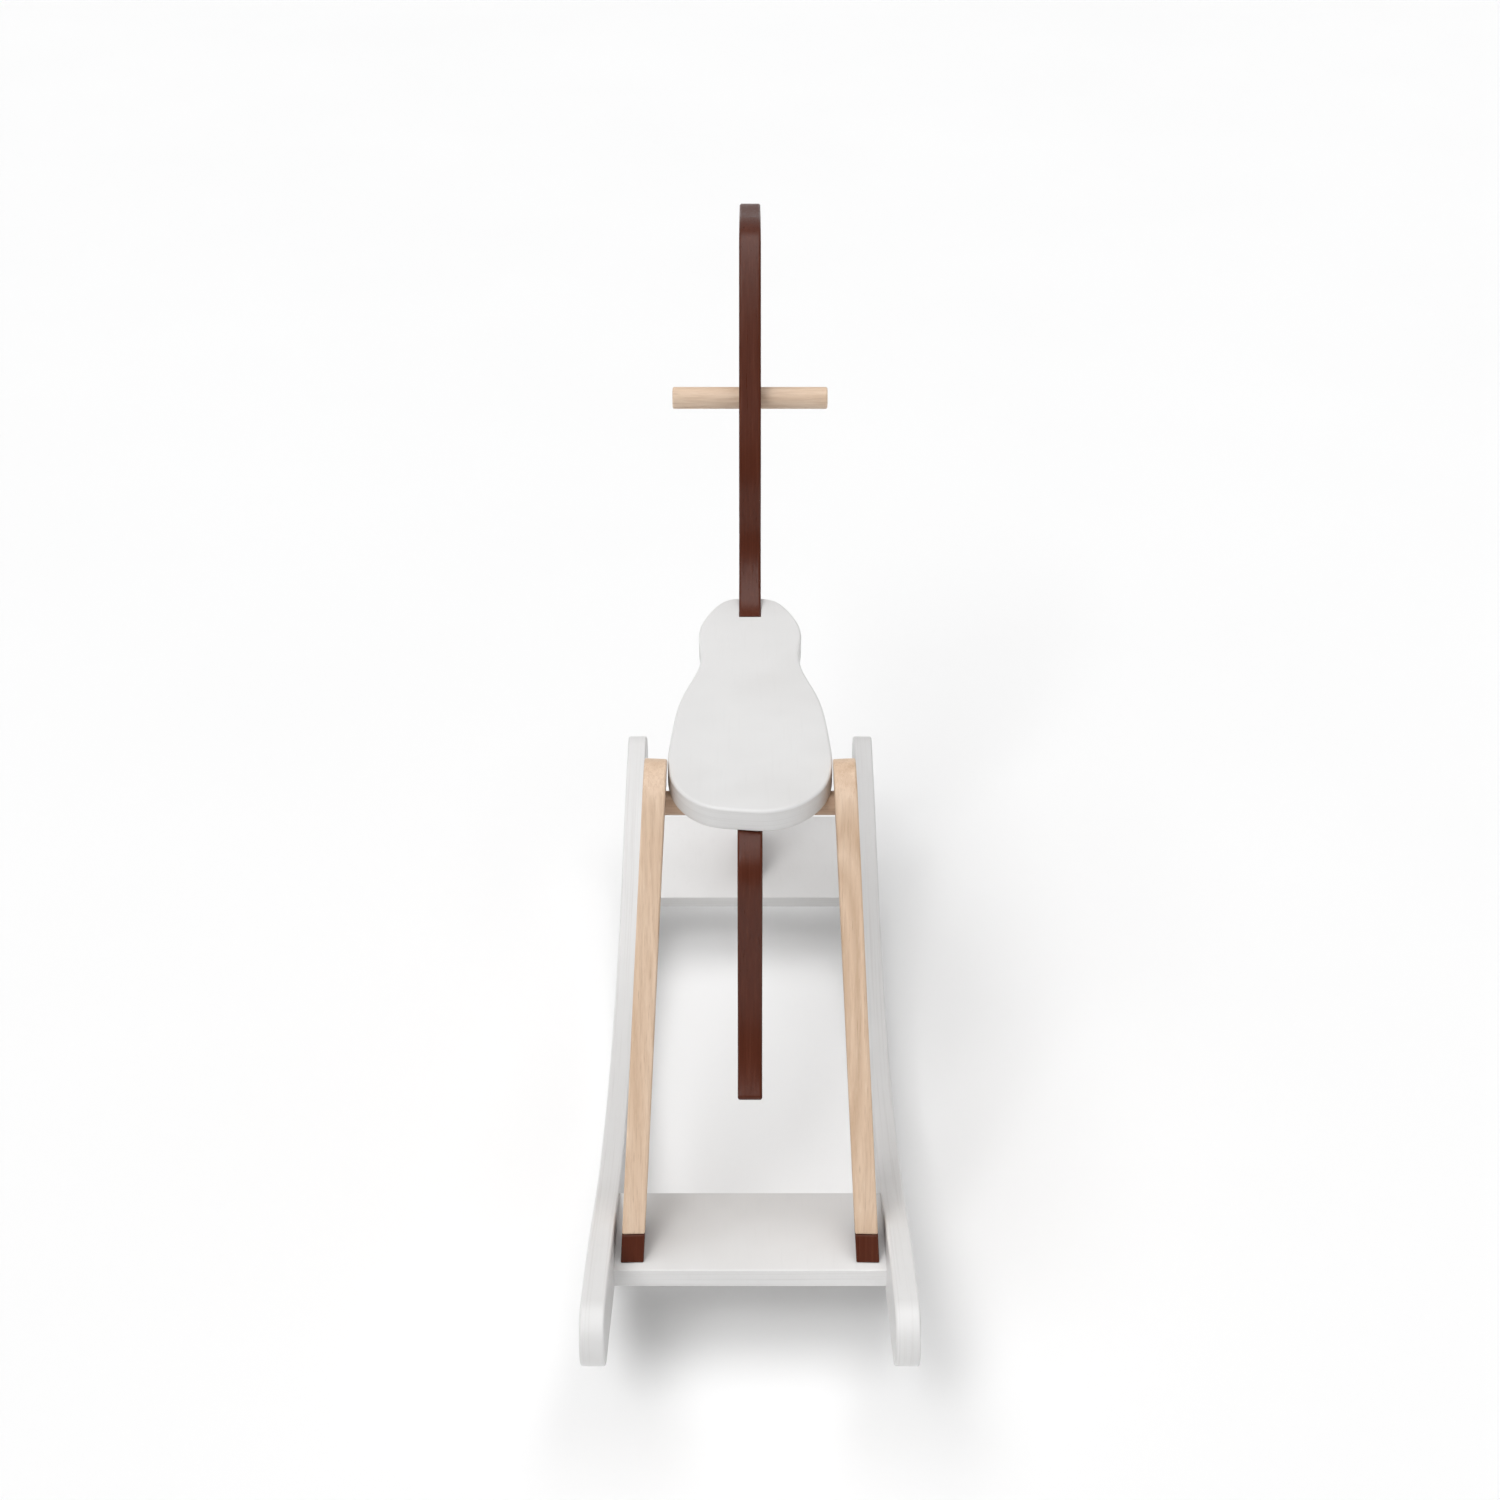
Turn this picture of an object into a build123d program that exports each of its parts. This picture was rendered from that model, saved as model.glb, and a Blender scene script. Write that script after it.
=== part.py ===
from build123d import *
from math import asin, atan2, cos, degrees, hypot, radians, sin, tan
import os

os.makedirs("parts", exist_ok=True)

# Rocking horse. Millimetres, +Z up, +Y towards the head, +X to the rider's right.
# The origin is on the floor, where the soles touch it under the middle of the rockers.

# ---------- driving dimensions ----------
overall_w = 240.0
rocker_t = 18.0
rocker_depth = 49.0
sole_r = 770.0                     # running radius of the sole
sole_angle = 20.0                  # half of the running arc, degrees
lift_r = 907.0                     # reverse curve out to the nose, on the centreline
lift_angle = 8.85
rocker_edge_r = 2.0

board_w = 96.0
board_t = 15.0
board_edge_r = 1.2
rear_board = (-304.5, 83.9, -5.0)  # y and z of the rear top edge, tilt in degrees
front_board = (208.0, 68.0, 20.0)

seat_t = 18.0
seat_top = 392.0
seat_half_w = 62.8
seat_rear_y = -150.0
seat_edge_r = 2.4

panel_t = 18.6                     # brown neck and tail panels
panel_edge_r = 2.0
slot_y = 155.0                     # rear end of the slot that holds the neck
shoulder_y = 92.0                  # rear end of the neck panel's shoulder under the seat

bar_d = 18.6                       # beech dowels
bar_y = -96.0
bar_socket = 9.0                   # how deep the crossbar stands in each leg
handle_y = 275.0
handle_z = 540.4
handle_len = 132.5
bar_edge_r = 1.6

leg_t = 17.2
leg_splay = 3.1                    # degrees from upright
hip_r = 33.4
leg_wrap = 200.0                   # how far the round hip wraps, degrees
foot_rear_y = -295.5
foot_front_y = -252.0
hoof_h = 19.0

cleat_size = 20.0
cleat_len = 74.0

dowel_r = 4.0
bolt_r = 2.9
head_r = 5.0
screw_r = 2.2
gap = 0.1                          # radial clearance of glued and bolted holes

# ---------- worked out ----------
inner_x = overall_w / 2 - rocker_t
seat_bottom = seat_top - seat_t
bar_z = seat_bottom - bar_d / 2
half_panel = panel_t / 2
splay = radians(leg_splay)


def leg_x(z, depth=0.0):
    """Distance from the centre plane, at height z, of a layer this deep inside a leg."""
    inner = seat_half_w + 0.2 + (seat_top - z) * tan(splay)
    return inner + depth / cos(splay)


def on_board(board, run, drop=0.0):
    """Point on a tilted cross board: run along its top, drop below its top face."""
    tilt = radians(board[2])
    y = board[0] + run * cos(tilt) + drop * sin(tilt)
    z = board[1] + run * sin(tilt) - drop * cos(tilt)
    return y, z


def board_up(board):
    """Upward normal of a cross board's top face."""
    tilt = radians(board[2])
    return (0, -sin(tilt), cos(tilt))


def rod(plane, radius, length):
    """Add a round rod that starts on the plane."""
    with BuildSketch(plane) as disc:
        Circle(radius)
    extrude(disc.sketch, amount=length)


def drill(plane, radius, depth):
    """Cut a round hole that starts on the plane."""
    with BuildSketch(plane) as disc:
        Circle(radius)
    extrude(disc.sketch, amount=depth, mode=Mode.SUBTRACT)


def save(part, name):
    part.label = name
    export_step(part, f"parts/{name}.step")


def save_pair(part, name):
    """The part stands on the right; its mirror image is the left one."""
    save(part, f"{name}_right")
    save(mirror(part, about=Plane.YZ), f"{name}_left")


# Both boards are bolted to the rockers at these runs, in the middle of their thickness.
bolt_runs = (20.0, 76.0)
bolt_points = [on_board(b, run, board_t / 2) for b in (rear_board, front_board) for run in bolt_runs]
bolt_board_depth = 34.0
nut_depth = 26.0                   # from the board's end to the middle of the cross nut
cap_r = 6.2
cap_t = 1.6
head_h = 4.0
bolt_seat_x = inner_x + rocker_t - cap_t - head_h - 0.4


def across(side, x, y, z):
    """Plane at (x, y, z) that faces inwards from the given side."""
    return Plane(origin=(side * x, y, z), x_dir=(0, 1, 0), z_dir=(-side, 0, 0))


# ---------- rockers ----------
with BuildPart() as rocker:
    with BuildSketch(Plane.YZ.offset(inner_x)):
        with BuildLine():
            half_depth = rocker_depth / 2
            sole = JernArc(start=(0, 0), tangent=(1, 0), radius=sole_r, arc_size=sole_angle)
            lift = JernArc(sole @ 1, sole % 1, radius=lift_r - half_depth, arc_size=-lift_angle)
            nose = JernArc(lift @ 1, lift % 1, radius=half_depth, arc_size=180)
            crest = JernArc(nose @ 1, nose % 1, radius=lift_r + half_depth, arc_size=lift_angle)
            JernArc(crest @ 1, crest % 1, radius=sole_r - rocker_depth, arc_size=-sole_angle)
            mirror(about=Plane.YZ)
        make_face()
    extrude(amount=rocker_t)
    side_faces = rocker.faces().filter_by(Axis.X)
    fillet(side_faces.edges(), radius=rocker_edge_r)
    for y, z in bolt_points:
        outside = across(1, overall_w / 2, y, z)
        drill(outside, cap_r + gap, overall_w / 2 - bolt_seat_x)
        drill(outside, bolt_r + gap, rocker_t)
save_pair(rocker.part, "rocker")

# ---------- cross boards ----------
hoof_screw_run = 46.0
neck_screw_runs = (34.0, 64.0)
hoof_screw_x = leg_x(rear_board[1], leg_t / 2)
screw_head_r = 4.2
screw_head_h = 3.0


def cross_board(board, screw_places):
    """A board between the rockers, with bolt holes in its ends and screw holes underneath."""
    middle = on_board(board, board_w / 2, board_t / 2)
    up = board_up(board)
    with BuildSketch(Plane.YZ.offset(-inner_x)) as section:
        with Locations(middle):
            Rectangle(board_w, board_t, rotation=board[2])
    extrude(section.sketch, amount=2 * inner_x)
    long_edges = edges().filter_by(Axis.X)
    fillet(long_edges, radius=board_edge_r)
    for side in (-1, 1):
        for run in bolt_runs:
            drill(across(side, inner_x, *on_board(board, run, board_t / 2)), bolt_r + gap, bolt_board_depth)
            under = (side * (inner_x - nut_depth), *on_board(board, run, board_t))
            drill(Plane(origin=under, z_dir=up), nut_r + gap, nut_len + 0.2)
    for x, run in screw_places:
        under = Plane(origin=(x, *on_board(board, run, board_t)), z_dir=up)
        drill(under, screw_head_r + gap, screw_head_h + 0.3)
        drill(under, screw_r + gap, board_t)


nut_r = 4.6
nut_len = 11.0
hoof_screw_places = [(-hoof_screw_x, hoof_screw_run), (hoof_screw_x, hoof_screw_run)]
neck_screw_places = [(0.0, run) for run in neck_screw_runs]

with BuildPart() as rear_cross_board:
    cross_board(rear_board, hoof_screw_places)
save(rear_cross_board.part, "rear_cross_board")

with BuildPart() as front_cross_board:
    cross_board(front_board, neck_screw_places)
save(front_cross_board.part, "front_cross_board")

# ---------- legs and hooves ----------
# The profile lies in the leg's own splayed plane; heights are measured up that plane.
leg_plane = Plane(
    origin=(leg_x(0), 0, 0), x_dir=(0, 1, 0), z_dir=(cos(splay), 0, sin(splay))
)
board_top = Plane(origin=(0, rear_board[0], rear_board[1]), z_dir=board_up(rear_board))
hoof_top = board_top.offset(hoof_h)
hip = (bar_y, bar_z / cos(splay))
foot_z = rear_board[1] / cos(splay)
rear_slope = atan2(hip[1] - foot_z, bar_y - foot_rear_y)
rear_slope += asin(hip_r / hypot(hip[1] - foot_z, bar_y - foot_rear_y))
below = 14.0                       # the profile runs this far below the board, then is cut off
below_run = below / tan(rear_slope)
rear_corner = (foot_rear_y - below_run, foot_z - below)
front_corner = (foot_front_y - below_run, foot_z - below)
leg_edge_r = 1.5
hoof_edge_r = 1.0

with BuildSketch(leg_plane) as leg_profile:
    with BuildLine():
        top = CenterArc(hip, hip_r, degrees(rear_slope) + 90, -leg_wrap)
        Line(rear_corner, top @ 0)
        down_leg = (-cos(rear_slope), -sin(rear_slope))
        Spline(top @ 1, (foot_front_y, foot_z), tangents=(top % 1, down_leg))
        Polyline((foot_front_y, foot_z), front_corner, rear_corner)
    make_face()

# One glued dowel up the leg's axis, and one screw up through the board.
hoof_dowel_y = foot_rear_y + 26.0
hoof_dowel_drop = 2.3              # dowel's middle, below the hoof's top
hoof_dowel_len = 24.0
hoof_dowel_dir = (-sin(splay), cos(rear_slope), sin(rear_slope))
hoof_top_z = rear_board[1] + hoof_h
hoof_middle = (leg_x(hoof_top_z, leg_t / 2), hoof_dowel_y, hoof_top_z - hoof_dowel_drop)
hoof_dowel_plane = Plane(origin=hoof_middle, z_dir=hoof_dowel_dir).offset(-hoof_dowel_len / 2)
hoof_screw_len = 48.0
hoof_screw_start = Plane(
    origin=(hoof_screw_x, *on_board(rear_board, hoof_screw_run, board_t)), z_dir=board_up(rear_board)
)

with BuildPart() as leg:
    extrude(leg_profile.sketch, amount=leg_t)
    split(bisect_by=hoof_top, keep=Keep.TOP)
    fillet(leg.edges(), radius=leg_edge_r)
    drill(Plane(origin=(leg_x(bar_z) - 3, bar_y, bar_z), z_dir=(1, 0, 0)), bar_d / 2 + gap, bar_socket + 3)
    drill(hoof_dowel_plane, dowel_r + gap, hoof_dowel_len + 1)
    drill(hoof_screw_start, screw_r + gap, hoof_screw_len)
save_pair(leg.part, "leg")

with BuildPart() as hoof:
    extrude(leg_profile.sketch, amount=leg_t)
    split(bisect_by=hoof_top, keep=Keep.BOTTOM)
    split(bisect_by=board_top, keep=Keep.TOP)
    fillet(hoof.edges(), radius=hoof_edge_r)
    drill(hoof_dowel_plane.offset(-1), dowel_r + gap, hoof_dowel_len)
    drill(hoof_screw_start, screw_r + gap, hoof_screw_len)
save_pair(hoof.part, "hoof")

# ---------- crossbar under the seat ----------
bar_end_x = leg_x(bar_z) + bar_socket - 0.3

with BuildPart() as seat_crossbar:
    rod(across(1, bar_end_x, bar_y, bar_z), bar_d / 2, 2 * bar_end_x)
    fillet(seat_crossbar.edges(), radius=bar_edge_r)
save(seat_crossbar.part, "seat_crossbar")

# ---------- seat ----------
# Right half of the outline as (x, y): wide at the rear, a waist, then a round front.
seat_side = [
    (34.0, seat_rear_y + 7.5),
    (54.5, seat_rear_y + 32.0),
    (seat_half_w - 1.2, seat_rear_y + 103.0),
    (52.8, 26.5),
    (40.6, 80.0),
    (42.6, 128.0),
    (32.4, 168.0),
    (17.2, 188.0),
]
seat_left = [(-x, y) for x, y in reversed(seat_side)]
slot_half_w = half_panel + gap
tail_dowel_y = (-68.0, -128.0)
tail_dowel_up = 11.0
tail_dowel_down = 17.0
cleat_screw_y = (106.0, 154.0)
cleat_screw_x = half_panel + cleat_size / 2
cleat_screw_len = 30.0

with BuildPart() as seat_board:
    with BuildSketch(Plane.XY.offset(seat_bottom)) as seat_outline:
        with BuildLine():
            Spline((0, seat_rear_y), *seat_side, (0, 190.0), *seat_left, periodic=True)
        make_face()
    extrude(seat_outline.sketch, amount=seat_t)
    flat_faces = seat_board.faces().filter_by(Axis.Z).sort_by(Axis.Z)
    fillet(flat_faces[-1].edges(), radius=seat_edge_r)
    fillet(seat_board.faces().sort_by(Axis.Z)[0].edges(), radius=seat_edge_r * 0.6)
    with BuildSketch(Plane.XY.offset(seat_bottom)) as slot:
        with Locations((0, slot_y + 50)):
            Rectangle(2 * slot_half_w, 100)
    extrude(slot.sketch, amount=seat_t, mode=Mode.SUBTRACT)
    for y in tail_dowel_y:
        drill(Plane(origin=(0, y, seat_bottom)), dowel_r + gap, tail_dowel_up + 0.2)
    for x in (-cleat_screw_x, cleat_screw_x):
        for y in cleat_screw_y:
            drill(Plane(origin=(x, y, seat_bottom)), screw_r + gap, cleat_screw_len - cleat_size + 0.5)
save(seat_board.part, "seat_board")

# ---------- neck and head panel ----------
foot_back = on_board(front_board, 18.0)
foot_front = on_board(front_board, 76.0)
neck_screw_len = 50.0
cleat_bolt_z = seat_bottom - cleat_size / 2
cleat_bolt_y = (118.0, 142.0)

# Both edges as (y, z): foot to shoulder, then the slot up over poll and muzzle to the foot.
haunch = [foot_back, (206.0, 190.0), (150.0, 300.0), (shoulder_y, seat_bottom - 16)]
withers = (slot_y + gap, seat_top + 1)
mane = [withers, (190.0, 407.0), (211.0, 440.0), (217.0, 484.0), (246.0, 548.0)]
brow = [(290.0, 627.0), (325.0, 664.0), (402.0, 661.0), (490.0, 639.5)]
muzzle = [(521.0, 610.0), (500.0, 575.0)]
jaw = [(452.0, 571.0), (402.0, 548.0), (350.0, 508.0)]
chest = [(303.0, 445.0), (274.0, 355.0), (266.0, 230.0), foot_front]

with BuildPart() as neck_panel:
    with BuildSketch(Plane.YZ.offset(-half_panel)) as neck_outline:
        with BuildLine():
            Spline(*haunch, tangents=((-0.05, 1), (-0.45, 1)))
            Polyline(haunch[-1], (shoulder_y, seat_bottom), (slot_y + gap, seat_bottom), withers)
            Spline(*mane, *brow, *muzzle, *jaw, *chest)
            Line(foot_front, foot_back)
        make_face()
    extrude(neck_outline.sketch, amount=panel_t)
    side_faces = neck_panel.faces().filter_by(Axis.X)
    fillet(side_faces.edges().filter_by(GeomType.BSPLINE), radius=panel_edge_r)
    drill(Plane(origin=(-half_panel, handle_y, handle_z), z_dir=(1, 0, 0)), bar_d / 2 + gap, panel_t)
    for y in cleat_bolt_y:
        drill(Plane(origin=(-half_panel, y, cleat_bolt_z), z_dir=(1, 0, 0)), bolt_r + gap, panel_t)
    for run in neck_screw_runs:
        start = Plane(origin=(0, *on_board(front_board, run)), z_dir=board_up(front_board))
        drill(start, screw_r + gap, neck_screw_len - board_t)
save(neck_panel.part, "neck_panel")

# ---------- tail panel ----------
# Its top edge meets the seat; the crossbar lies in a notch that is open at the top.
tail_top = (-60.0, seat_bottom)
tail_rear = (-146.0, seat_bottom)
tail_back = [tail_rear, (-172.0, 350.0), (-178.0, 300.0), (-184.0, 250.0), (-221.5, 177.0)]
tail_front = [(-198.0, 168.0), (-158.0, 216.0), (-132.0, 290.0), (-84.0, 334.0), tail_top]
tail_tip_r = 3.0

with BuildPart() as tail_panel:
    with BuildSketch(Plane.YZ.offset(-half_panel)) as tail_outline:
        with BuildLine():
            Spline(*tail_back)
            Line(tail_back[-1], tail_front[0])
            Spline(*tail_front)
            Line(tail_top, tail_rear)
        make_face()
        fillet(tail_outline.vertices().sort_by(Axis.Y)[:2], radius=tail_tip_r)
        with Locations((bar_y, bar_z)):
            Circle(bar_d / 2 + gap, mode=Mode.SUBTRACT)
        with Locations((bar_y, bar_z + bar_d / 2)):
            Rectangle(bar_d + 2 * gap, bar_d, mode=Mode.SUBTRACT)
    extrude(tail_outline.sketch, amount=panel_t)
    side_faces = tail_panel.faces().filter_by(Axis.X)
    rim = side_faces.edges().filter_by(lambda e: e.center().Z < bar_z - bar_d / 2 - 2)
    fillet(rim, radius=panel_edge_r)
    for y in tail_dowel_y:
        drill(Plane(origin=(0, y, seat_bottom), z_dir=(0, 0, -1)), dowel_r + gap, tail_dowel_down + 0.2)
save(tail_panel.part, "tail_panel")

# ---------- handle ----------
with BuildPart() as handle_bar:
    rod(Plane(origin=(-handle_len / 2, handle_y, handle_z), z_dir=(1, 0, 0)), bar_d / 2, handle_len)
    fillet(handle_bar.edges(), radius=bar_edge_r)
save(handle_bar.part, "handle_bar")

# ---------- cleats beside the neck, under the seat ----------
bolt_head_h = 3.2
bolt_nut_h = 5.0
bolt_nut_r = 5.0
cleat_out_x = half_panel + cleat_size

with BuildPart() as seat_cleat:
    with BuildSketch(Plane.XY.offset(seat_bottom - cleat_size)) as cleat_foot:
        with Locations((cleat_screw_x, shoulder_y + cleat_len / 2)):
            Rectangle(cleat_size, cleat_len)
    extrude(cleat_foot.sketch, amount=cleat_size)
    fillet(seat_cleat.faces().filter_by(Axis.Y).edges(), radius=bar_edge_r)
    for y in cleat_bolt_y:
        bolt_line = Plane(origin=(half_panel, y, cleat_bolt_z), z_dir=(1, 0, 0))
        drill(bolt_line, bolt_r + gap, cleat_size)
    for y in cleat_screw_y:
        screw_line = Plane(origin=(cleat_screw_x, y, seat_bottom - cleat_size))
        drill(screw_line, screw_r + gap, cleat_size)
        drill(screw_line, screw_head_r + gap, screw_head_h + 0.3)
save_pair(seat_cleat.part, "seat_cleat")

# ---------- hardware ----------
with BuildPart() as cleat_neck_bolts:
    for y in cleat_bolt_y:
        shank_len = 2 * cleat_out_x + bolt_nut_h
        rod(Plane(origin=(-cleat_out_x, y, cleat_bolt_z), z_dir=(1, 0, 0)), bolt_r, shank_len)
        rod(Plane(origin=(-cleat_out_x, y, cleat_bolt_z), z_dir=(-1, 0, 0)), head_r, bolt_head_h)
save(cleat_neck_bolts.part, "cleat_neck_bolts")

with BuildPart() as cleat_neck_nuts:
    for y in cleat_bolt_y:
        with BuildSketch(Plane(origin=(cleat_out_x, y, cleat_bolt_z), z_dir=(1, 0, 0))) as hexagon:
            RegularPolygon(bolt_nut_r, 6)
            Circle(bolt_r + gap, mode=Mode.SUBTRACT)
        extrude(hexagon.sketch, amount=bolt_nut_h)
save(cleat_neck_nuts.part, "cleat_neck_nuts")


def screws(places, axis, length):
    """Countersunk-style screws: a flat round head and a plain shank."""
    for place in places:
        rod(Plane(origin=place, z_dir=axis), screw_r, length)
        rod(Plane(origin=place, z_dir=axis).offset(0.2), screw_head_r, screw_head_h)


with BuildPart() as cleat_seat_screws:
    low_z = seat_bottom - cleat_size
    corners = [(x, y, low_z) for x in (-cleat_screw_x, cleat_screw_x) for y in cleat_screw_y]
    screws(corners, (0, 0, 1), cleat_screw_len)
save(cleat_seat_screws.part, "cleat_seat_screws")

with BuildPart() as hoof_screws:
    places = [(x, *on_board(rear_board, run, board_t)) for x, run in hoof_screw_places]
    screws(places, board_up(rear_board), hoof_screw_len - 0.3)
save(hoof_screws.part, "hoof_screws")

with BuildPart() as neck_foot_screws:
    places = [(x, *on_board(front_board, run, board_t)) for x, run in neck_screw_places]
    screws(places, board_up(front_board), neck_screw_len - 0.3)
save(neck_foot_screws.part, "neck_foot_screws")

with BuildPart() as tail_seat_dowels:
    for y in tail_dowel_y:
        rod(Plane(origin=(0, y, seat_bottom - tail_dowel_down)), dowel_r, tail_dowel_down + tail_dowel_up)
save(tail_seat_dowels.part, "tail_seat_dowels")

with BuildPart() as hoof_dowels:
    rod(hoof_dowel_plane, dowel_r, hoof_dowel_len)
    mirror(about=Plane.YZ)
save(hoof_dowels.part, "hoof_dowels")

board_bolt_len = overall_w / 2 - cap_t - 0.4 - inner_x + bolt_board_depth - 1

with BuildPart() as board_bolts:
    for side in (-1, 1):
        for y, z in bolt_points:
            head = across(side, bolt_seat_x + head_h, y, z)
            rod(head, head_r, head_h)
            rod(head, bolt_r, board_bolt_len)
save(board_bolts.part, "board_bolts")

with BuildPart() as board_barrel_nuts:
    for side in (-1, 1):
        for board in (rear_board, front_board):
            for run in bolt_runs:
                under = (side * (inner_x - nut_depth), *on_board(board, run, board_t))
                rod(Plane(origin=under, z_dir=board_up(board)).offset(0.1), nut_r, nut_len)
                y, z = on_board(board, run, board_t / 2)
                drill(across(side, inner_x - nut_depth + nut_r + 1, y, z), bolt_r + gap, 2 * nut_r + 2)
save(board_barrel_nuts.part, "board_barrel_nuts")

with BuildPart() as bolt_caps:
    for side in (-1, 1):
        for y, z in bolt_points:
            rod(across(side, overall_w / 2, y, z), cap_r, cap_t)
save(bolt_caps.part, "bolt_caps")
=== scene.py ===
import bpy
from math import atan2, radians
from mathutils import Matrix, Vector


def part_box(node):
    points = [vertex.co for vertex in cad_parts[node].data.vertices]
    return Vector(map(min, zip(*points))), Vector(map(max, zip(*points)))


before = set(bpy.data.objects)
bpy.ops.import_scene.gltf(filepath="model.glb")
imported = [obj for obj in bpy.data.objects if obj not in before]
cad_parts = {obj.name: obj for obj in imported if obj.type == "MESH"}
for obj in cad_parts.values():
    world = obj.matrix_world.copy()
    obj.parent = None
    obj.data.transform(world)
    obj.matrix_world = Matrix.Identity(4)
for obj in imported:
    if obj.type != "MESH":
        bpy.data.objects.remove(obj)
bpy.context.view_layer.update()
scene = bpy.context.scene

# ---------- node helpers ----------


def new_material(name):
    mat = bpy.data.materials.new(name)
    mat.use_nodes = True
    nodes, links = mat.node_tree.nodes, mat.node_tree.links
    nodes.clear()
    out = nodes.new("ShaderNodeOutputMaterial")
    shader = nodes.new("ShaderNodeBsdfPrincipled")
    links.new(shader.outputs["BSDF"], out.inputs["Surface"])
    return mat, nodes, links, shader


def mapped(nodes, links, scale, rotation=(0, 0, 0), location=(0, 0, 0)):
    """Object coordinates in metres, turned and then stretched."""
    coords = nodes.new("ShaderNodeTexCoord")
    turn = nodes.new("ShaderNodeMapping")
    turn.inputs["Rotation"].default_value = rotation
    turn.inputs["Location"].default_value = location
    links.new(coords.outputs["Object"], turn.inputs["Vector"])
    stretch = nodes.new("ShaderNodeMapping")
    stretch.inputs["Scale"].default_value = scale
    links.new(turn.outputs["Vector"], stretch.inputs["Vector"])
    return stretch.outputs["Vector"]


def noise(nodes, links, vector, scale=1.0, detail=4.0, rough=0.55, distortion=0.0):
    n = nodes.new("ShaderNodeTexNoise")
    n.inputs["Scale"].default_value = scale
    n.inputs["Detail"].default_value = detail
    n.inputs["Roughness"].default_value = rough
    n.inputs["Distortion"].default_value = distortion
    links.new(vector, n.inputs["Vector"])
    return n.outputs["Fac"]


def spread(nodes, links, value, low, high, to_low=0.0, to_high=1.0):
    r = nodes.new("ShaderNodeMapRange")
    r.inputs["From Min"].default_value = low
    r.inputs["From Max"].default_value = high
    r.inputs["To Min"].default_value = to_low
    r.inputs["To Max"].default_value = to_high
    links.new(value, r.inputs["Value"])
    return r.outputs["Result"]


def ramp(nodes, links, value, stops):
    r = nodes.new("ShaderNodeValToRGB")
    while len(r.color_ramp.elements) < len(stops):
        r.color_ramp.elements.new(0.5)
    for element, (place, colour) in zip(r.color_ramp.elements, stops):
        element.position = place
        element.color = (*colour, 1)
    links.new(value, r.inputs["Fac"])
    return r.outputs["Color"]


def mix(nodes, links, a, b, factor, mode="MIX"):
    m = nodes.new("ShaderNodeMix")
    m.data_type = "RGBA"
    m.blend_type = mode
    for socket, value in ((m.inputs[6], a), (m.inputs[7], b), (m.inputs[0], factor)):
        if isinstance(value, bpy.types.NodeSocket):
            links.new(value, socket)
        elif isinstance(value, tuple):
            socket.default_value = (*value, 1)
        else:
            socket.default_value = value
    return m.outputs[2]


def math(nodes, links, op, a, b=0.0):
    m = nodes.new("ShaderNodeMath")
    m.operation = op
    for socket, value in ((m.inputs[0], a), (m.inputs[1], b)):
        if isinstance(value, bpy.types.NodeSocket):
            links.new(value, socket)
        else:
            socket.default_value = value
    return m.outputs[0]


def bump(nodes, links, shader, height, strength, distance):
    b = nodes.new("ShaderNodeBump")
    b.inputs["Strength"].default_value = strength
    b.inputs["Distance"].default_value = distance
    links.new(height, b.inputs["Height"])
    links.new(b.outputs["Normal"], shader.inputs["Normal"])


# ---------- materials ----------


def white_paint(name, ply, turn=(0, 0, 0)):
    """Satin white lacquer on plywood: soft roller texture, and plies that show faintly on cut edges."""
    mat, nodes, links, shader = new_material(name)
    soft = noise(nodes, links, mapped(nodes, links, (9, 9, 9)), detail=3)
    roller = noise(nodes, links, mapped(nodes, links, (420, 420, 420)), detail=3, rough=0.5)
    grain = noise(nodes, links, mapped(nodes, links, (260, 14, 260)), detail=5, rough=0.6)
    plies = noise(nodes, links, mapped(nodes, links, ply, turn), detail=3, rough=0.6)
    base = ramp(nodes, links, soft, [(0.3, (0.75, 0.745, 0.74)), (0.7, (0.79, 0.785, 0.78))])
    veined = mix(nodes, links, base, (0.68, 0.67, 0.66), spread(nodes, links, grain, 0.56, 0.78, 0, 0.22))
    edged = mix(nodes, links, veined, (0.60, 0.585, 0.57), spread(nodes, links, plies, 0.50, 0.72, 0, 0.38))
    links.new(edged, shader.inputs["Base Color"])
    links.new(spread(nodes, links, grain, 0.3, 0.7, 0.34, 0.46), shader.inputs["Roughness"])
    relief = math(nodes, links, "ADD", roller, math(nodes, links, "MULTIPLY", grain, 0.8))
    relief = math(nodes, links, "ADD", relief, math(nodes, links, "MULTIPLY", plies, 0.8))
    bump(nodes, links, shader, relief, 0.22, 0.0003)
    return mat


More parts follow.
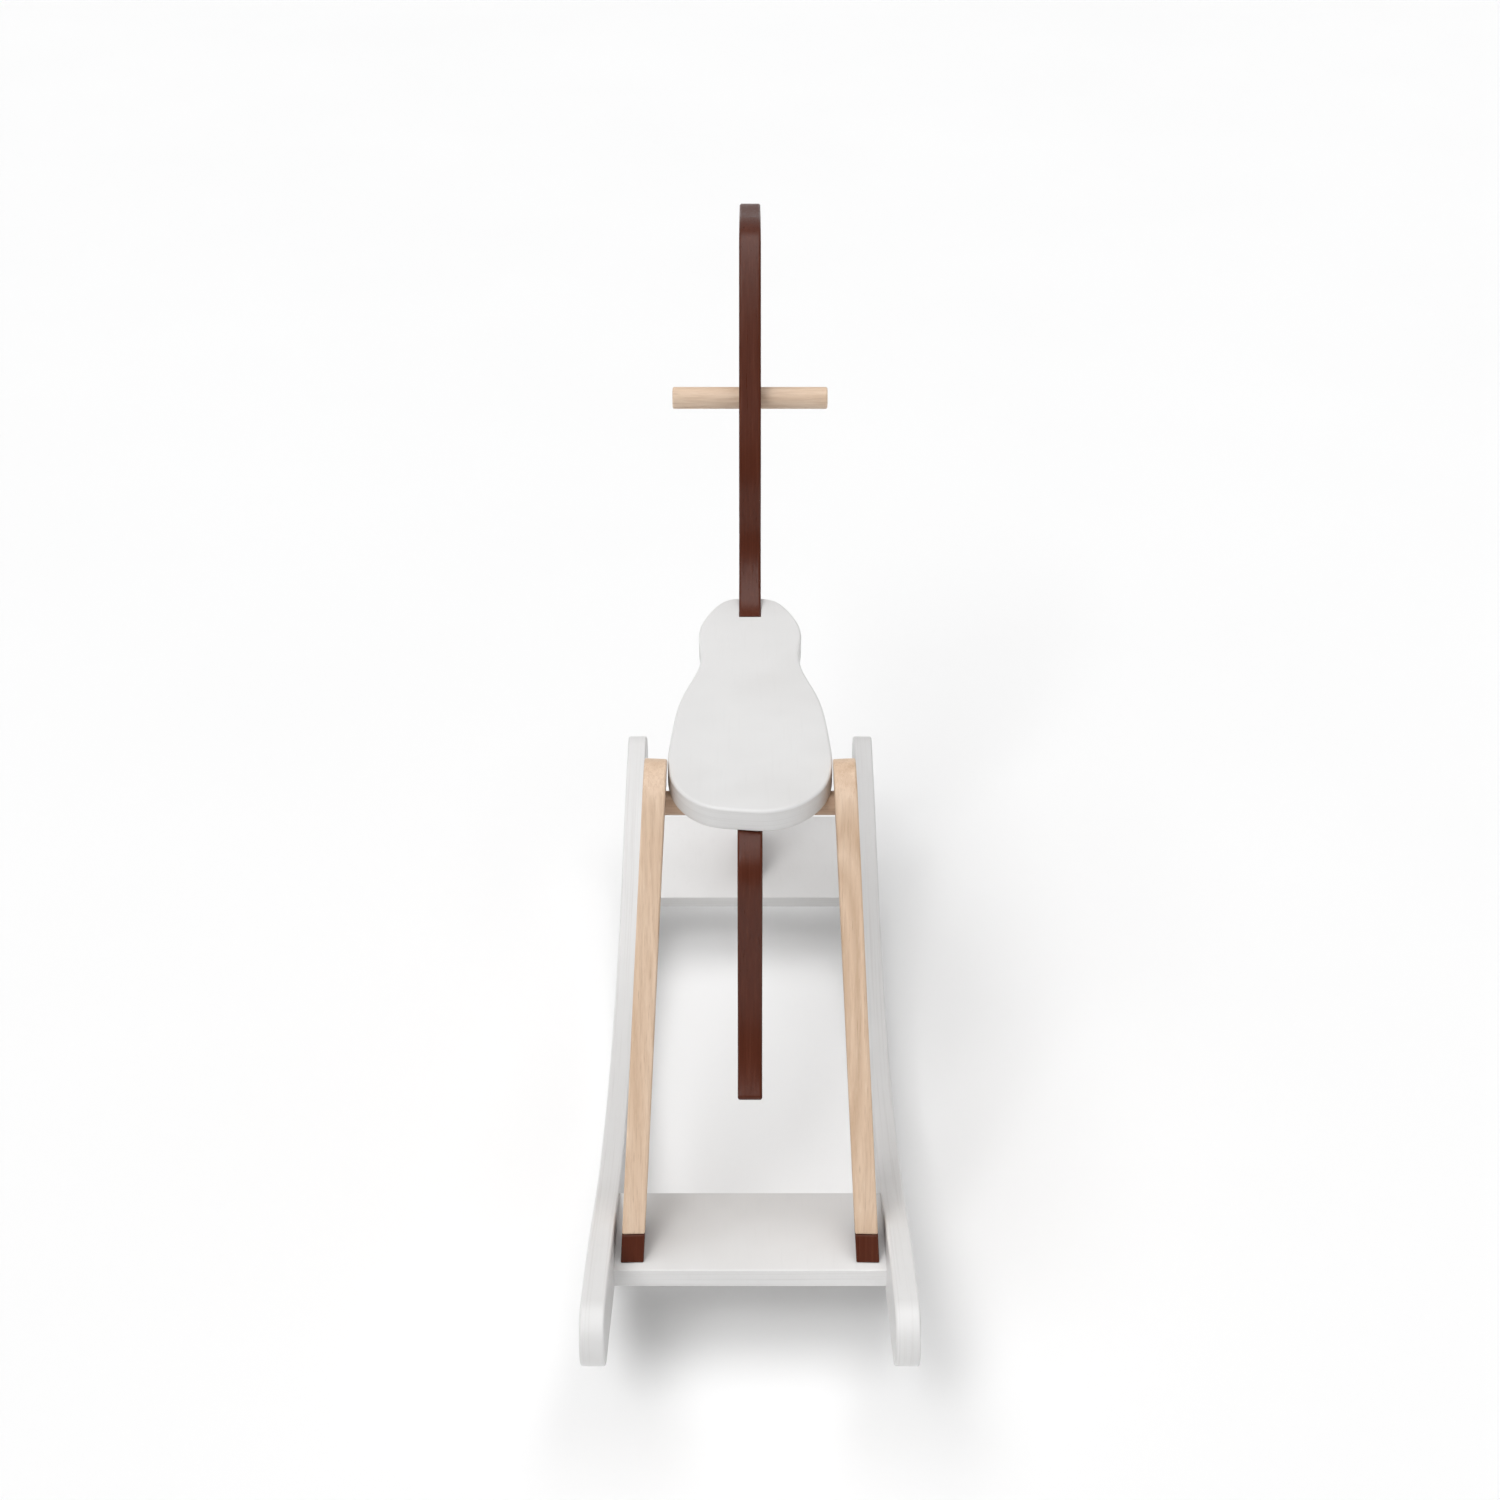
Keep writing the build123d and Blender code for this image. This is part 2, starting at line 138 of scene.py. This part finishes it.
def brown_stain(name, turn):
    """Dark brown satin stain, with fine streaks along the board."""
    mat, nodes, links, shader = new_material(name)
    streak = noise(nodes, links, mapped(nodes, links, (620, 7, 160), turn), detail=6, rough=0.62)
    broad = noise(nodes, links, mapped(nodes, links, (130, 3.5, 45), turn), detail=4, distortion=0.4)
    pore = noise(nodes, links, mapped(nodes, links, (2200, 70, 1500), turn), detail=2)
    shades = [
        (0.30, (0.076, 0.0145, 0.0042)),
        (0.52, (0.088, 0.0170, 0.0050)),
        (0.76, (0.120, 0.031, 0.013)),
    ]
    base = ramp(nodes, links, streak, shades)
    toned = mix(nodes, links, base, (0.074, 0.0140, 0.0042), spread(nodes, links, broad, 0.35, 0.65, 0, 0.30))
    links.new(toned, shader.inputs["Base Color"])
    links.new(spread(nodes, links, streak, 0.3, 0.7, 0.26, 0.38), shader.inputs["Roughness"])
    relief = math(nodes, links, "SUBTRACT", streak, spread(nodes, links, pore, 0.58, 0.72, 0, 0.5))
    bump(nodes, links, shader, relief, 0.30, 0.0004)
    shader.inputs["Specular IOR Level"].default_value = 0.28
    shader.inputs["Coat Weight"].default_value = 0.05
    shader.inputs["Coat Roughness"].default_value = 0.25
    return mat


def beech(name, turn, shift=(0, 0, 0), figure=0.35):
    """Pale clear-lacquered beech with its grain along the turned Y axis."""
    mat, nodes, links, shader = new_material(name)
    fibre = noise(nodes, links, mapped(nodes, links, (520, 26, 520), turn, shift), detail=6, rough=0.68)
    streak = noise(nodes, links, mapped(nodes, links, (1150, 42, 1150), turn, shift), detail=3, rough=0.55)
    broad = noise(nodes, links, mapped(nodes, links, (42, 2.6, 42), turn, shift), detail=4, distortion=0.35)
    figure_at = mapped(nodes, links, (20, 3.2, 20), turn, shift)
    swirl = noise(nodes, links, figure_at, detail=1, distortion=0.35)
    rings = math(nodes, links, "MULTIPLY", swirl, 11.0)
    bands = math(nodes, links, "PINGPONG", rings, 0.5)
    shades = [
        (0.30, (0.70, 0.500, 0.350)),
        (0.5, (0.78, 0.585, 0.430)),
        (0.72, (0.87, 0.690, 0.535)),
    ]
    base = ramp(nodes, links, broad, shades)
    ringed = spread(nodes, links, bands, 0.05, 0.5, figure, 0.0)
    figured = mix(nodes, links, base, (0.50, 0.315, 0.185), ringed)
    dark_fibre = spread(nodes, links, fibre, 0.46, 0.74, 0, 0.60)
    fibred = mix(nodes, links, figured, (0.55, 0.360, 0.225), dark_fibre)
    pored = mix(nodes, links, fibred, (0.40, 0.235, 0.135), spread(nodes, links, streak, 0.60, 0.76, 0, 0.55))
    pale = mix(nodes, links, pored, (0.90, 0.76, 0.62), spread(nodes, links, streak, 0.40, 0.24, 0, 0.45))
    links.new(pale, shader.inputs["Base Color"])
    links.new(spread(nodes, links, fibre, 0.3, 0.7, 0.36, 0.50), shader.inputs["Roughness"])
    bump(nodes, links, shader, math(nodes, links, "ADD", fibre, streak), 0.20, 0.0003)
    return mat


def zinc():
    """Bright zinc plate with a brushed and slightly spangled surface."""
    mat, nodes, links, shader = new_material("zinc_plate")
    spangle = noise(nodes, links, mapped(nodes, links, (500, 500, 500)), detail=4)
    base = ramp(nodes, links, spangle, [(0.3, (0.50, 0.50, 0.51)), (0.7, (0.68, 0.68, 0.69))])
    links.new(base, shader.inputs["Base Color"])
    links.new(spread(nodes, links, spangle, 0.3, 0.7, 0.24, 0.42), shader.inputs["Roughness"])
    bump(nodes, links, shader, spangle, 0.15, 0.0002)
    shader.inputs["Metallic"].default_value = 1.0
    return mat


def cap_plastic():
    """Moulded white plastic with a fine spark-eroded texture."""
    mat, nodes, links, shader = new_material("cap_plastic")
    texture = noise(nodes, links, mapped(nodes, links, (1500, 1500, 1500)), detail=3)
    base = ramp(nodes, links, texture, [(0.3, (0.76, 0.76, 0.75)), (0.7, (0.82, 0.82, 0.81))])
    links.new(base, shader.inputs["Base Color"])
    links.new(spread(nodes, links, texture, 0.3, 0.7, 0.44, 0.56), shader.inputs["Roughness"])
    bump(nodes, links, shader, texture, 0.25, 0.0002)
    return mat


# ---------- directions of the grain ----------
# The leg's comes from its own box, and the others follow how each board is laid.
leg_low, leg_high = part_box("leg_right")
hip_r = 0.0334
half_foot = 0.0234
rise = leg_high[2] - leg_low[2] - hip_r
reach = leg_high[1] - hip_r - (leg_low[1] + half_foot)
leg_turn = (-atan2(rise, reach), 0, 0)
upright = (radians(-90), 0, 0)
crosswise = (0, 0, radians(90))
rear_tilt = (radians(5), 0, 0)
front_tilt = (radians(-20), 0, 0)
neck_lean = (radians(-68), 0, 0)
tail_lean = (radians(-66), 0, 0)

finishes = {
    "white_rocker": white_paint("white_rocker", (620, 6, 6)),
    "white_seat": white_paint("white_seat", (5, 5, 620)),
    "white_rear": white_paint("white_rear", (5, 5, 620), rear_tilt),
    "white_front": white_paint("white_front", (5, 5, 620), front_tilt),
    "brown_neck": brown_stain("brown_stain_neck", neck_lean),
    "brown_tail": brown_stain("brown_stain_tail", tail_lean),
    "beech_leg_left": beech("beech_leg_left", leg_turn, (0.31, 0.0, 0.07), 0.12),
    "beech_leg_right": beech("beech_leg_right", leg_turn, (0.02, 0.06, 0.0), 0.42),
    "beech_dowel": beech("beech_dowel", crosswise, (0.0, 0.03, 0.02), 0.15),
    "beech_batten": beech("beech_batten", (0, 0, 0), (0.1, 0.0, 0.0), 0.2),
    "beech_pin": beech("beech_pin", upright, (0.0, 0.0, 0.1), 0.1),
    "zinc": zinc(),
    "cap": cap_plastic(),
}

finish_of = {
    "rocker_left": "white_rocker",
    "rocker_right": "white_rocker",
    "rear_cross_board": "white_rear",
    "front_cross_board": "white_front",
    "seat_board": "white_seat",
    "neck_panel": "brown_neck",
    "tail_panel": "brown_tail",
    "hoof_left": "brown_tail",
    "hoof_right": "brown_tail",
    "leg_left": "beech_leg_left",
    "leg_right": "beech_leg_right",
    "seat_crossbar": "beech_dowel",
    "handle_bar": "beech_dowel",
    "seat_cleat_left": "beech_batten",
    "seat_cleat_right": "beech_batten",
    "tail_seat_dowels": "beech_pin",
    "hoof_dowels": "beech_pin",
    "bolt_caps": "cap",
}
for name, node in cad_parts.items():
    for slot in node.material_slots:
        slot.material = finishes[finish_of.get(name, "zinc")]

# ---------- floor, light and camera ----------
floor_size = 14
floor_drop = 0.0002                # keeps the floor just under the soles
backdrop_r = 6.9
backdrop_height = 24
dome_strength = 0.28
camera_back = 1.626                # behind the origin, along -Y
camera_up = 1.331
camera_tilt = 59                   # degrees up from straight down
camera_lens = 57.1                 # millimetres, on a 36 mm sensor


def studio_floor():
    """Matt pale paper with very faint clouding."""
    mat, nodes, links, shader = new_material("studio_floor")
    cloud = noise(nodes, links, mapped(nodes, links, (2, 2, 2)), detail=2)
    tones = [(0.3, (0.905, 0.905, 0.905)), (0.7, (0.915, 0.915, 0.915))]
    links.new(ramp(nodes, links, cloud, tones), shader.inputs["Base Color"])
    shader.inputs["Roughness"].default_value = 0.9
    shader.inputs["Specular IOR Level"].default_value = 0.1
    shader.inputs["Emission Color"].default_value = (1, 1, 1, 1)
    shader.inputs["Emission Strength"].default_value = 0.02
    return mat


def studio_backdrop():
    """Pale wall that glows by itself and reflects nothing."""
    mat, nodes, links, shader = new_material("studio_backdrop")
    cloud = noise(nodes, links, mapped(nodes, links, (0.4, 0.4, 0.4)), detail=1)
    tones = [(0.3, (0.93, 0.93, 0.93)), (0.7, (0.96, 0.96, 0.96))]
    links.new(ramp(nodes, links, cloud, tones), shader.inputs["Emission Color"])
    shader.inputs["Base Color"].default_value = (0, 0, 0, 1)
    shader.inputs["Specular IOR Level"].default_value = 0.0
    shader.inputs["Emission Strength"].default_value = 1.0
    return mat


bpy.ops.mesh.primitive_plane_add(size=floor_size, location=(0, 0, -floor_drop))
floor = bpy.context.object
floor.name = "floor"
floor.data.materials.append(studio_floor())

# Only the camera sees the backdrop, so it adds no light.
bpy.ops.mesh.primitive_cylinder_add(
    vertices=96, radius=backdrop_r, depth=backdrop_height, end_fill_type="NOTHING", location=(0, 0, 0)
)
backdrop = bpy.context.object
backdrop.name = "backdrop"
backdrop.visible_diffuse = False
backdrop.visible_glossy = False
backdrop.visible_shadow = False
backdrop.data.materials.append(studio_backdrop())

scene.world = bpy.data.worlds.new("studio")
scene.world.use_nodes = True
dome = scene.world.node_tree.nodes["Background"]
dome.inputs["Color"].default_value = (1, 1, 1, 1)
dome.inputs["Strength"].default_value = dome_strength


def soft_sun(name, travel, strength, softness):
    """A very large soft light whose rays travel along the given direction."""
    data = bpy.data.lights.new(name, "SUN")
    data.energy = strength
    data.angle = radians(softness)
    lamp = bpy.data.objects.new(name, data)
    scene.collection.objects.link(lamp)
    lamp.rotation_euler = Vector(travel).to_track_quat("-Z", "Y").to_euler()


soft_sun("key", (0.30, 0.58, -0.76), 0.9, 22)
soft_sun("top", (0.10, -0.06, -1.0), 1.8, 62)

camera_data = bpy.data.cameras.new("photo_view")
camera_data.sensor_width = 36
camera_data.lens = camera_lens
camera = bpy.data.objects.new("photo_view", camera_data)
scene.collection.objects.link(camera)
camera.location = (0, -camera_back, camera_up)
camera.rotation_euler = (radians(camera_tilt), 0, 0)
scene.camera = camera
scene.view_settings.view_transform = "Standard"
